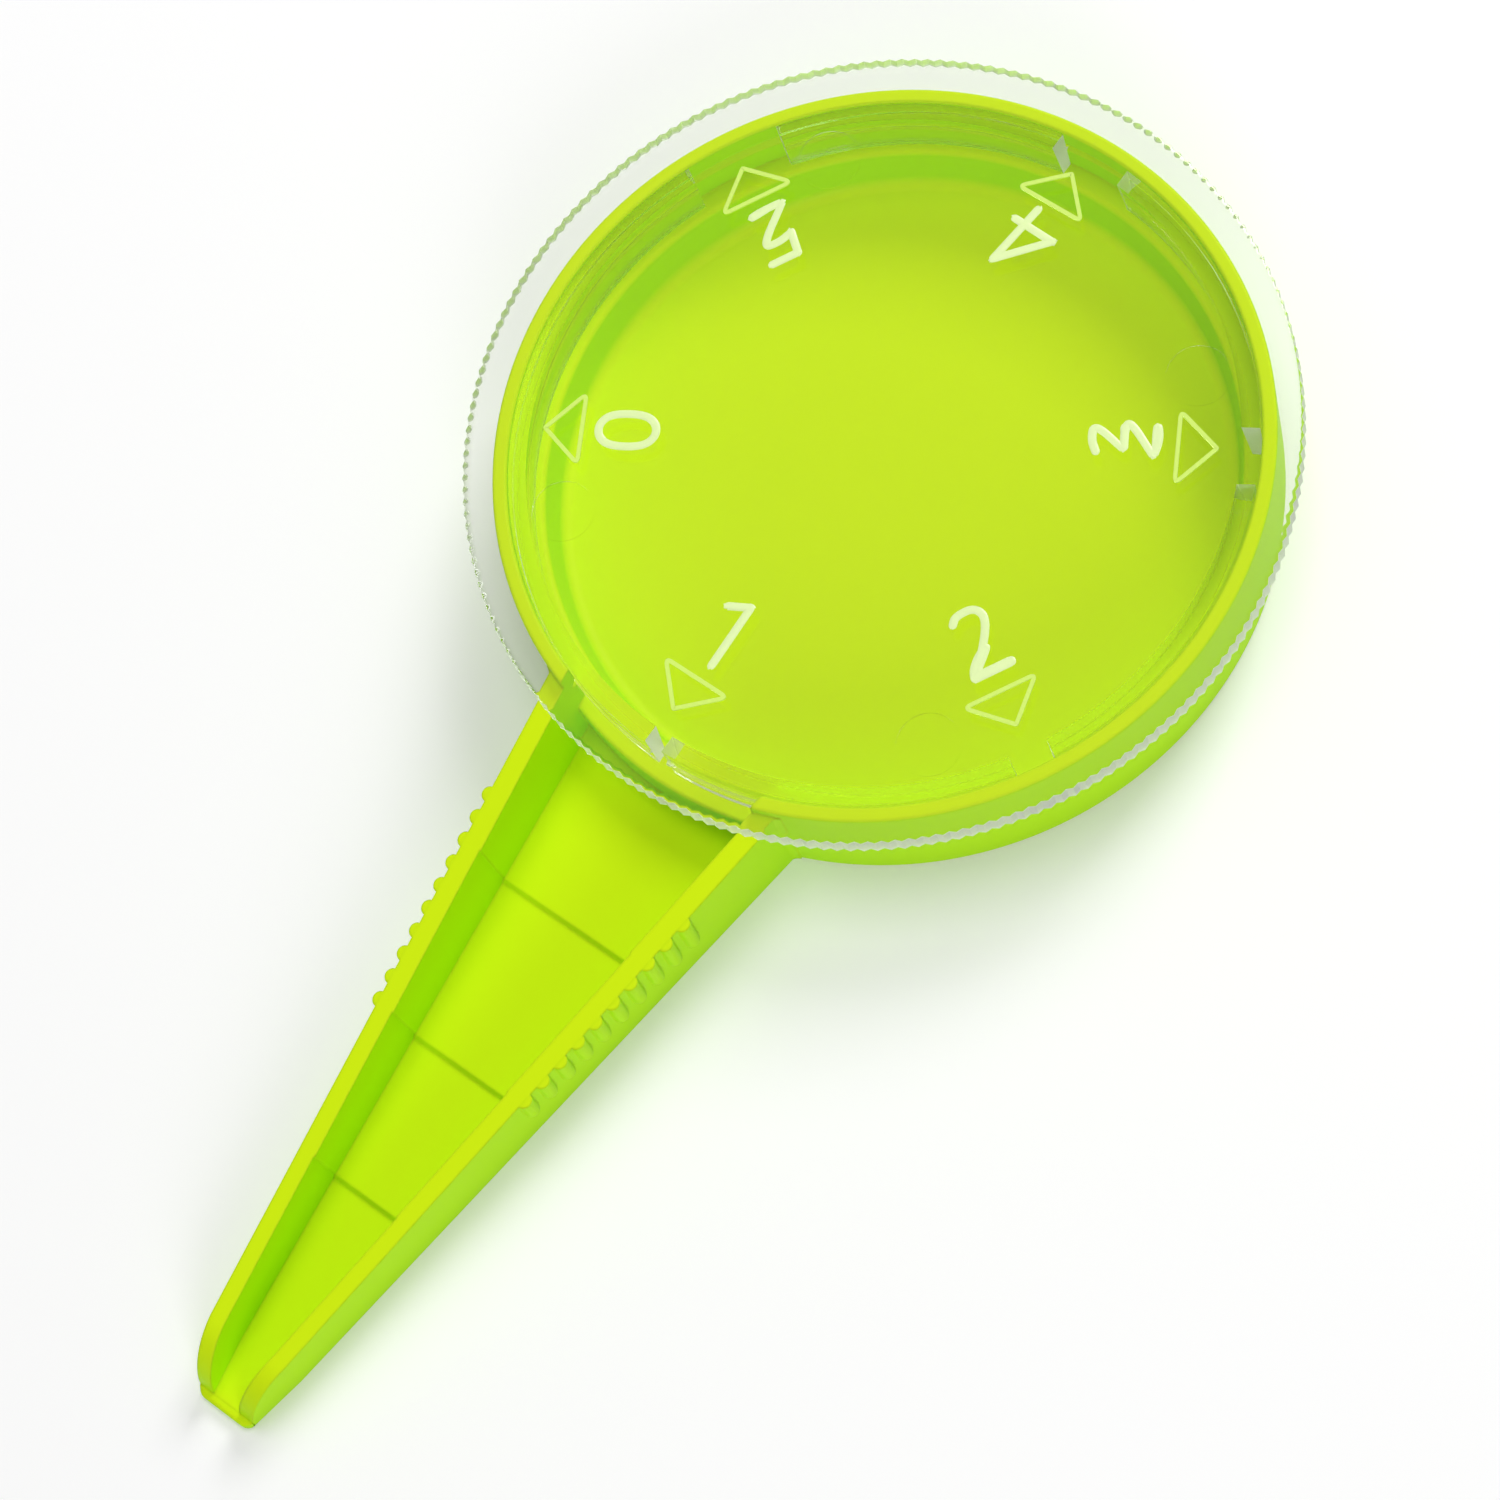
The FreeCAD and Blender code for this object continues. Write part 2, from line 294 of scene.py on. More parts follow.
class Surface:
    """Node group for moulded plastic: painted light and shade by facing, a painted edge highlight, slow
    waves, fine grain.
    """

    NAME = "moulded_surface_painted_light"
    SOCKETS = (
        ("INPUT", "NodeSocketColor", ("Flat Painted Light", "Side Painted Light", "Edge Painted Highlight")),
        ("INPUT", "NodeSocketFloat", ("Edge Size", "Gloss", "Gloss Spread", "Wave Size", "Grain Size")),
        ("OUTPUT", "NodeSocketColor", ("Colour",)),
        ("OUTPUT", "NodeSocketFloat", ("Roughness", "Height")),
        ("OUTPUT", "NodeSocketVector", ("Normal",)),
    )
    SIDE_UP_TO, FLAT_FROM = 0.15, 0.95
    SHADE_SWAY = 0.24
    WAVE_DETAIL, GRAIN_DETAIL, GRAIN_FADE = 3.0, 6.0, 0.6
    EDGE_SAMPLES, EDGE_FROM, EDGE_FULL, EDGE_SHARE = 4, 0.99, 0.72, 0.7
    GRAIN_HEIGHT = 0.15

    @classmethod
    def group(cls) -> Tree:
        """Returns the shared node group, which is built the first time."""
        return bpy.data.node_groups.get(cls.NAME) or cls._build()

    @classmethod
    def _build(cls) -> Tree:
        """Builds the group.

        Returns:
            A node group that turns colours with painted light and shade, and a roughness, into a
            moulded finish.
        """
        tree = bpy.data.node_groups.new(cls.NAME, "ShaderNodeTree")
        for way, kind, names in cls.SOCKETS:
            for name in names:
                tree.interface.new_socket(name=name, in_out=way, socket_type=kind)
        given = tree.nodes.new("NodeGroupInput")
        result = tree.nodes.new("NodeGroupOutput")
        place = add_node(tree, "TexCoord")
        waves = add_node(tree, "TexNoise", {"Detail": cls.WAVE_DETAIL})
        grain = add_node(tree, "TexNoise", {"Detail": cls.GRAIN_DETAIL, "Roughness": cls.GRAIN_FADE})
        # Flats and sides get their own painted light and shade, mixed by how far a face points up and
        # swayed by the slow waves.
        facing = add_node(tree, "SeparateXYZ")
        upright = add_node(tree, "Math", operation="ABSOLUTE")
        flatness = add_node(tree, "MapRange", {"From Min": cls.SIDE_UP_TO, "From Max": cls.FLAT_FROM},
                            interpolation_type="SMOOTHSTEP")
        sway = cls.SHADE_SWAY
        uneven = add_node(tree, "Math", {1: sway, 2: -sway / 2}, operation="MULTIPLY_ADD")
        share = add_node(tree, "Math", operation="ADD", use_clamp=True)
        painted_light_mix = add_node(tree, "Mix", data_type="RGBA")
        # Where the rounded normal leaves the face's own normal, the edge colour is laid on as a painted
        # highlight.
        rounded = add_node(tree, "Bevel", samples=cls.EDGE_SAMPLES)
        flat = add_node(tree, "NewGeometry")
        agree = add_node(tree, "VectorMath", operation="DOT_PRODUCT")
        edge = add_node(tree, "MapRange", {
            "From Min": cls.EDGE_FROM, "From Max": cls.EDGE_FULL, "To Max": cls.EDGE_SHARE})
        painted_highlight = add_node(tree, "Mix", data_type="RGBA")
        spread = add_node(tree, "Math", operation="MULTIPLY_ADD")
        height = add_node(tree, "Math", {1: cls.GRAIN_HEIGHT}, operation="MULTIPLY_ADD")
        add_wires(tree, (
            (place, "Object", waves, "Vector"), (place, "Object", grain, "Vector"),
            (given, "Wave Size", waves, "Scale"), (given, "Grain Size", grain, "Scale"),
            (place, "Normal", facing, "Vector"), (facing, "Z", upright, 0),
            (upright, "Value", flatness, "Value"), (waves, "Fac", uneven, 0),
            (flatness, "Result", share, 0), (uneven, "Value", share, 1),
            (share, "Value", painted_light_mix, "Factor"), (given, "Side Painted Light", painted_light_mix, "A"),
            (given, "Flat Painted Light", painted_light_mix, "B"), (grain, "Fac", spread, 0),
            (given, "Gloss Spread", spread, 1), (given, "Gloss", spread, 2),
            (grain, "Fac", height, 0), (waves, "Fac", height, 2),
            (given, "Edge Size", rounded, "Radius"), (rounded, "Normal", agree, 0),
            (flat, "Normal", agree, 1), (agree, "Value", edge, "Value"),
            (edge, "Result", painted_highlight, "Factor"), (painted_light_mix, "Result", painted_highlight, "A"),
            (given, "Edge Painted Highlight", painted_highlight, "B"), (painted_highlight, "Result", result, "Colour"),
            (rounded, "Normal", result, "Normal"), (spread, "Value", result, "Roughness"),
            (height, "Value", result, "Height"),
        ))
        return tree


@dataclass(frozen=True)
class Plastic:
    """A moulded plastic, opaque or clear, with its painted light and shade."""

    name: str
    # Colours on level faces and on upright faces; how they differ is painted light and shade.
    flat_painted_light: Colour
    side_painted_light: Colour
    gloss: float = 0.25
    bump: float = 0.10
    gloss_spread: float = 0.10
    wave_size: float = 90.0
    grain_size: float = 2400.0
    grain_depth: float = 0.1
    index: float = 1.5
    reflection: float = 0.5
    clear: float = 0.0
    edge_size: float = 0.0
    # Colour of the painted highlight along rounded edges.
    edge_painted_highlight: Colour = (1.0, 1.0, 1.0)

    def material(self) -> bpy.types.Material:
        """Returns this plastic's material, which is built the first time."""
        return bpy.data.materials.get(self.name) or self._build()

    def _build(self) -> bpy.types.Material:
        """Builds the material around the shared surface group.

        Returns:
            The new material.
        """
        material = bpy.data.materials.new(self.name)
        material.use_nodes = True
        tree = material.node_tree
        shader = tree.nodes["Principled BSDF"]
        surface = add_node(tree, "Group", {
            "Flat Painted Light": (*self.flat_painted_light, 1.0),
            "Side Painted Light": (*self.side_painted_light, 1.0),
            "Edge Painted Highlight": (*self.edge_painted_highlight, 1.0),
            "Edge Size": self.edge_size * MM,
            "Gloss": self.gloss, "Gloss Spread": self.gloss_spread,
            "Wave Size": self.wave_size, "Grain Size": self.grain_size,
        }, node_tree=Surface.group())
        bump = add_node(tree, "Bump", {"Strength": self.bump, "Distance": self.grain_depth * MM})
        set_values(shader, {"IOR": self.index, "Specular IOR Level": self.reflection,
                            "Transmission Weight": self.clear})
        add_wires(tree, (
            (surface, "Colour", shader, "Base Color"), (surface, "Roughness", shader, "Roughness"),
            (surface, "Height", bump, "Height"), (bump, "Normal", shader, "Normal"),
        ))
        if self.edge_size:
            add_wires(tree, ((surface, "Normal", bump, "Normal"),))
        return material


# The lime green's deeper sides are painted shade under its lighter flats, and its pale edge colour is a
# painted highlight.
GREEN = Plastic("lime_polypropylene", (0.63, 0.86, 0.006), (0.47, 0.85, 0.003), gloss=0.38, bump=0.12,
                gloss_spread=0.08, wave_size=60.0, grain_size=2600.0, index=1.49, reflection=0.05,
                edge_size=0.45, edge_painted_highlight=(0.68, 0.96, 0.02))
CLEAR = Plastic("clear_polystyrene", (0.955, 0.95, 0.955), (0.955, 0.955, 0.955), gloss=0.02,
                bump=0.01, gloss_spread=0.02, wave_size=40.0, grain_size=1800.0, clear=1.0)
# The strokes' whiter sides are a painted highlight.
STROKE = Plastic("frosted_stroke_painted_highlight", (0.82, 0.96, 0.50), (0.97, 1.0, 0.86), clear=0.25)
# A rough plastic whose pale diffuse part paints the glints of the grip teeth and the window ends.
FROSTED_GLINT = Plastic("frosted_edge_painted_glint", (0.90, 0.92, 0.90), (0.86, 0.88, 0.86), gloss=0.35, bump=0.15,
                  clear=0.6)
# The ridges' slightly darker sides are painted shade.
LINE = Plastic("frosted_line", (0.74, 0.94, 0.22), (0.70, 0.92, 0.16), clear=0.35)


def finish(piece: Piece, smooth_degrees: float, *plastics: Plastic) -> None:
    """Puts a piece's place into its mesh, smooths its shading and gives it its plastics.

    Args:
        piece: The modelled object.
        smooth_degrees: Edges sharper than this stay crisp.
        *plastics: Its plastics, the first of which covers all of it.
    """
    take(piece)
    bpy.ops.object.transform_apply(location=True, rotation=True, scale=True)
    bpy.ops.object.shade_smooth_by_angle(angle=math.radians(smooth_degrees))
    modify(piece, "WEIGHTED_NORMAL", keep_sharp=True, weight=LEVELLING)
    piece.data.materials.clear()
    for plastic in plastics:
        piece.data.materials.append(plastic.material())


# ---- Seed tray ----

@dataclass
class Chute:
    """The open chute that is also the handle: drafted walls, stepped floor, finger ribs and lip."""

    rim_radius: float
    start: float
    reach: float = 116.2
    root_width: float = 27.1
    bend_width: float = 9.2
    tip_width: float = 6.6
    nose_length: float = 7.0
    draft: float = 2.1
    wall: float = 2.2
    root_height: float = 12.4
    tip_height: float = 6.1
    floor: float = 2.3
    lip: float = 0.7
    lip_round: float = 0.4
    lip_slack: float = 0.05
    tip_round: float = 6.9
    tip_corner: float = 0.9
    root: float = -3.0
    step_drop: float = 0.4
    step_widening: float = 0.13
    step_places: Sequence[float] = (56.4, 74.6, 90.7)
    rib_count: int = 10
    rib_pitch: float = 2.56
    rib_radius: float = 0.85
    rib_proud: float = 0.7
    rib_start: float = 51.2
    rib_foot: float = 5.7
    rib_step: float = 0.04
    rib_sides: int = 28
    blend_radius: float = 1.5
    blend_stretch: float = 1.4
    blend_root: float = 2.0
    blend_sides: int = 64
    clearance: float = 0.01
    overrun: float = 1.0
    headroom: float = 3.0
    strip_width: float = 2.0
    strip_height: float = 1.0

    @property
    def lean(self) -> float:
        """How far a side leans out for each millimetre of height."""
        return math.tan(math.radians(self.draft))

    @property
    def fall(self) -> float:
        """How far the tops of the walls drop for each millimetre along the chute."""
        return (self.root_height - self.tip_height) / (self.reach - self.rim_radius)

    @property
    def bend(self) -> float:
        """Distance from the dial's axis at which the nose begins."""
        return self.reach - self.nose_length

    def half_width(self, reach: float, height: float = 0.0) -> float:
        """Works out half the outside width.

        Args:
            reach: Distance from the dial's axis.
            height: Height above the table.

        Returns:
            Half the width there.
        """
        if reach < self.bend:
            share = (reach - self.rim_radius) / (self.bend - self.rim_radius)
            base = self.root_width + (self.bend_width - self.root_width) * share
        else:
            share = (reach - self.bend) / self.nose_length
            base = self.bend_width + (self.tip_width - self.bend_width) * share
        return base / 2 + height * self.lean

    def top(self, reach: float) -> float:
        """Height of the walls at a distance from the dial's axis."""
        share = (reach - self.rim_radius) / (self.reach - self.rim_radius)
        return self.root_height + (self.tip_height - self.root_height) * share

    def strip(self, start: float, end: float, foot: float, head: Callable[[float], float]) -> Piece:
        """Makes a narrow strip along the chute, which is tapered later.

        Args:
            start: Where it starts along the chute.
            end: Where it ends along the chute.
            foot: Height of its lower face.
            head: Height of its upper face at each reach.

        Returns:
            The strip.
        """
        middle = foot + self.strip_height / 2
        bpy.ops.mesh.primitive_cube_add(size=1, location=(0, -(start + end) / 2 * MM, middle * MM))
        strip = bpy.context.object
        strip.scale = (self.strip_width * MM, (end - start) * MM, self.strip_height * MM)
        bpy.ops.object.transform_apply(location=True, scale=True)
        with editing(strip):
            for reach in (start, end):
                pick_points(strip, lambda place: abs(place.y + reach * MM) < NEAR
                            and place.z > middle * MM)
                rise = head(reach) - foot - self.strip_height
                bpy.ops.transform.translate(value=(0, 0, rise * MM))
            slice_all((0, -self.bend, 0), (0, 1, 0))
        return strip

    @staticmethod
    def row(place: Vector) -> tuple[float, float]:
        """Names the row that a point belongs to."""
        return round(place.y, ROW_DIGITS), round(place.z, ROW_DIGITS)

    def taper(self, strip: Piece, inset: float) -> None:
        """Spreads a strip to the chute's plan and draft, row by row.

        Args:
            strip: A strip along the chute.
            inset: How far its sides lie inside the chute's outside.
        """
        with editing(strip):
            bpy.ops.mesh.select_all(action="SELECT")
            bpy.ops.mesh.remove_doubles(threshold=SLACK * MM)
        rows = {self.row(point.co) for point in strip.data.vertices}
        with editing(strip):
            for y, z in sorted(rows):
                pick_points(strip, lambda place: self.row(place) == (y, z))
                half = self.half_width(-y / MM, z / MM) - inset
                bpy.ops.transform.resize(value=(half * 2 / self.strip_width, 1, 1),
                                         center_override=(0, 0, 0))

    def channel(self, index: int) -> Piece:
        """Makes the plug for one stretch of the channel, which starts at a step with a sloping riser.

        Args:
            index: Place of the stretch, counted from the tray.

        Returns:
            The plug.
        """
        starts = (self.start - self.overrun, *(place - self.clearance for place in self.step_places))
        ends = (*self.step_places, self.reach + self.overrun)
        foot = self.floor - self.step_drop * index
        plug = self.strip(starts[index], ends[index], foot,
                          lambda reach: self.root_height + self.headroom)
        if index:
            with editing(plug):
                slice_all((0, 0, foot + self.step_drop))
                pick_points(plug, lambda place: abs(place.y + starts[index] * MM) < NEAR
                            and place.z < (foot + SLACK) * MM)
                bpy.ops.transform.translate(value=(0, -self.step_drop * MM, 0))
        self.taper(plug, self.wall - self.step_widening * index)
        return plug

    def rib(self, side: int, index: int) -> Piece:
        """Makes one half-round finger rib, cut off level with the top of the wall.

        Args:
            side: -1 or 1, for the wall it stands on.
            index: Its place in the row.

        Returns:
            The rib.
        """
        reach = self.rib_start + self.rib_pitch * index
        foot_x = self.half_width(reach, self.rib_foot) - self.rib_radius + self.rib_proud
        length = self.root_height
        bpy.ops.mesh.primitive_cylinder_add(
            vertices=self.rib_sides, radius=self.rib_radius * MM, depth=length * MM,
            location=(side * (foot_x + length / 2 * self.lean) * MM, -reach * MM,
                      (self.rib_foot + length / 2) * MM),
            rotation=(0, side * math.radians(self.draft), 0))
        rib = bpy.context.object
        bpy.ops.object.transform_apply(location=True, rotation=True)
        with editing(rib):
            slice_all((0, -reach, self.top(reach) - self.rib_step), (0, -self.fall, 1), Keep.BELOW)
        return rib

    def blend(self, side: int, side_radius: float) -> Piece:
        """Makes the rounded corner piece between one wall and the round tray.

        Args:
            side: -1 or 1, for the wall it stands at.
            side_radius: Outside radius of the round tray.

        Returns:
            The corner piece, hollowed by a round.
        """
        hollow = side_radius + self.blend_radius
        centre_x = self.half_width(side_radius) + self.blend_radius
        centre_y = math.sqrt(hollow ** 2 - centre_x ** 2)
        near_tray = centre_x * side_radius / hollow
        length = self.root_height + 2 * self.blend_root
        middle = length / 2 - self.blend_root
        lean = math.radians(self.draft)
        shift = middle * self.lean
        bpy.ops.mesh.primitive_cube_add(
            size=1, location=(side * (near_tray - self.blend_radius / 2 + shift) * MM,
                              -(centre_y - self.blend_radius / 2) * MM, middle * MM),
            rotation=(0, side * lean, 0))
        corner = bpy.context.object
        corner.scale = (self.blend_radius * MM, self.blend_radius * self.blend_stretch * MM,
                        length * MM)
        bpy.ops.object.transform_apply(location=True, rotation=True, scale=True)
        bpy.ops.mesh.primitive_cylinder_add(
            vertices=self.blend_sides, radius=self.blend_radius * MM, depth=2 * length * MM,
            location=(side * (centre_x + shift) * MM, -centre_y * MM, middle * MM),
            rotation=(0, side * lean, 0))
        combine(corner, bpy.context.object, Solid.CUT)
        with editing(corner):
            slice_all((0, -self.rim_radius, self.root_height - self.rib_step), (0, -self.fall, 1),
                      Keep.BELOW)
            slice_all((0, 0, 2 * self.clearance), keep=Keep.ABOVE)
        return corner

    def walls(self) -> Piece:
        """Makes the solid outside of the chute with its rounded nose and the lip below it.

        Returns:
            The solid, before the channel is cut.
        """
        walls_end = self.reach - self.lip
        lip_height = self.floor - self.step_drop * len(self.step_places) - self.clearance
        solid = self.strip(self.start, walls_end, self.root, self.top)
        with editing(solid):
            pick_edges(solid, lambda end: abs(end.y + walls_end * MM) < NEAR and end.z > 0)
            bevel(self.tip_round, segments=12)
            slice_all((0, 0, self.clearance), keep=Keep.ABOVE)
            slice_all((0, 0, lip_height))
            pick_faces(solid, lambda face: face.normal.y < -FACING and face.center.z < lip_height * MM)
            bpy.ops.mesh.extrude_region_move()
            bpy.ops.transform.resize(value=(1, 0, 1), center_override=(0, -self.reach * MM, 0))
        self.taper(solid, 0.0)
        with editing(solid):
            pick_edges(solid, lambda end: end.y < -(self.reach - SLACK) * MM, upright=True)
            bevel(self.tip_corner, segments=4)
            pick_edges(solid, lambda end: abs(end.z - lip_height * MM) < self.lip_slack * MM
                       and end.y < -(walls_end + self.lip_slack) * MM)
            bevel(self.lip_round)
        return solid

    def join_on(self, tray: Piece, side_radius: float) -> None:
        """Joins the solid chute with its ribs and corner pieces onto the tray.

        Args:
            tray: The solid round tray.
            side_radius: Outside radius of the round tray.
        """
        combine(tray, self.walls(), Solid.JOIN)
        for side in (-1, 1):
            combine(tray, self.blend(side, side_radius), Solid.JOIN)
            for index in range(self.rib_count):
                combine(tray, self.rib(side, index), Solid.JOIN)


@dataclass
class SeedTray:
    """The green moulding: round tray with its seat for the lid, and the ribbed chute."""

    rim_radius: float = 40.2
    rim_height: float = 13.9
    rim_wall: float = 1.55
    rim_bevel: float = 0.35
    rim_inner_chamfer: float = 0.2
    base_chamfer: float = 0.3
    draft: float = 0.8
    floor: float = 2.0
    floor_bevel: float = 1.2
    well_lean: float = 0.9
    ledge_height: float = 7.0
    ledge_width: float = 2.35
    ledge_bevel: float = 0.6
    groove_depth: float = 3.2
    groove_size: float = 0.75
    sill_root: float = -1.0
    sill_bevel: float = 0.4
    sill_step: float = 0.02
    headroom: float = 1.0
    round_steps: int = 240
    smooth_degrees: float = 35.0

    def side_radius(self, height: float) -> float:
        """Outside radius of the round tray at a height."""
        return self.rim_radius - (self.rim_height - height) * math.tan(math.radians(self.draft))

    def drum(self, foot: float, head: float) -> Piece:
        """Makes a solid drum with the tray's drafted side.

        Args:
            foot: Height of its lower face.
            head: Height of its upper face.

        Returns:
            The drum.
        """
        drum = cylinder(self.round_steps, self.side_radius(foot), foot, head)
        with editing(drum):
            pick_points(drum, lambda place: place.z > (head - SLACK) * MM)
            widen(self.side_radius(head) / self.side_radius(foot))
        return drum

    def well_cutter(self) -> Piece:
        """Makes the plug that leaves the lid's seat, its snap groove, the ledge and the seed well.

        Returns:
            The plug.
        """
        seat = self.rim_radius - self.rim_wall
        ledge = seat - self.ledge_width
        groove = self.rim_height - self.groove_depth
        plug = cylinder(self.round_steps, seat, self.ledge_height, self.rim_height + self.headroom)
        with editing(plug):
            for height in (groove - self.groove_size, groove, groove + self.groove_size,
                           self.rim_height - self.rim_inner_chamfer, self.rim_height):
                slice_all((0, 0, height))
            pick_points(plug, lambda place: abs(place.z - groove * MM) < NEAR)
            widen(1 + self.groove_size / seat)
            pick_points(plug, lambda place: place.z > (self.rim_height - SLACK) * MM)
            widen(1 + self.rim_inner_chamfer / seat)
            pick_faces(plug, lambda face: face.normal.z < -LEVEL)
            bpy.ops.mesh.inset(thickness=self.ledge_width * MM)
            bpy.ops.mesh.extrude_region_move(
                TRANSFORM_OT_translate={"value": (0, 0, (self.floor - self.ledge_height) * MM)})
            widen((ledge - self.well_lean) / ledge)
            pick_edges(plug, lambda end: end.z < (self.floor + SLACK) * MM)
            bevel(self.floor_bevel, segments=4)
            pick_edges(plug, lambda end: abs(end.z - self.ledge_height * MM) < NEAR
                       and end.xy.length < (ledge + self.ledge_bevel) * MM)
            bevel(self.ledge_bevel)
        return plug

    def sill(self) -> Piece:
        """Makes the foot of the tray's side, over which the seeds drop into the chute.

        Returns:
            The sill as a low drum.
        """
        top = self.ledge_height + self.sill_step
        sill = self.drum(self.sill_root, top)
        with editing(sill):
            pick_edges(sill, lambda end: end.z > (top - SLACK) * MM)
            bevel(self.sill_bevel)
        return sill

    def build(self) -> list[Piece]:
        """Models the moulding in one piece and puts it on the sower's body.

        Returns:
            The pieces of the tray.
        """
        chute = Chute(self.rim_radius, self.rim_radius - self.rim_wall - self.ledge_width)
        deselect_all()
        tray = self.drum(0.0, self.rim_height)
        tray.name = "green_tray"
        with editing(tray):
            pick_edges(tray, lambda end: end.z > (self.rim_height - SLACK) * MM)
            bevel(self.rim_bevel)
            pick_edges(tray, lambda end: end.z < NEAR)
            bevel(self.base_chamfer, segments=1)
        chute.join_on(tray, self.side_radius(self.ledge_height))
        channels = [chute.channel(index) for index in range(len(chute.step_places) + 1)]
        combine(channels[0], self.sill(), Solid.CUT)
        for plug in [*channels, self.well_cutter()]:
            combine(tray, plug, Solid.CUT)
        finish(tray, self.smooth_degrees, GREEN)
        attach(tray, "sower")
        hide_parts("seed_tray")
        return [tray]


# ---- Dial lid ----

@dataclass(frozen=True)
class Stroke:
    """One stroke of a digit: a line through two points in millimetres, or a curve along more."""

    points: Sequence[tuple[float, float]]
    closed: bool = False
    weight: float = 1.0


class Digit(Enum):
    """The generic figures on the dial, drawn with single strokes."""

    ZERO = (Stroke(((0.75, 2.85), (1.8, 1.5), (1.8, -1.9), (0.75, -3.2), (-0.75, -3.2), (-1.8, -1.9),
                    (-1.8, 1.5), (-0.75, 2.85)), closed=True),)
    ONE = (Stroke(((-1.9, 2.9), (0.2, 4.0))), Stroke(((0.2, 4.0), (0.5, -3.1))))
    TWO = (Stroke(((-1.3, 3.5), (-0.7, 4.25), (1.5, 4.25), (2.05, 2.3), (1.5, 0.6), (-1.5, -1.5),
                   (-1.65, -2.6))),
           Stroke(((-1.55, -2.6), (2.25, -2.6)), weight=1.25))
    THREE = (Stroke(((-0.7, 3.2), (0.6, 3.75), (2.35, 3.6), (2.5, 0.6), (1.0, 0.4), (-0.2, 0.45))),
             Stroke(((-0.15, 0.4), (1.6, 0.5), (2.85, 0.1), (2.9, -2.7), (0.6, -3.15), (-0.85, -2.65))))
    FOUR = (Stroke(((-2.7, -1.6), (1.4, 3.15))), Stroke(((1.4, 3.15), (0.65, -3.8))),
            Stroke(((-2.7, -1.55), (2.1, -1.75))))
    FIVE = (Stroke(((1.65, 2.8), (-1.3, 2.8))), Stroke(((-1.3, 2.8), (-1.6, 0.3))),
            Stroke(((-1.55, 0.35), (0.0, 0.8), (1.9, 0.6), (2.1, -3.0), (0.3, -3.4), (-2.0, -3.3))))


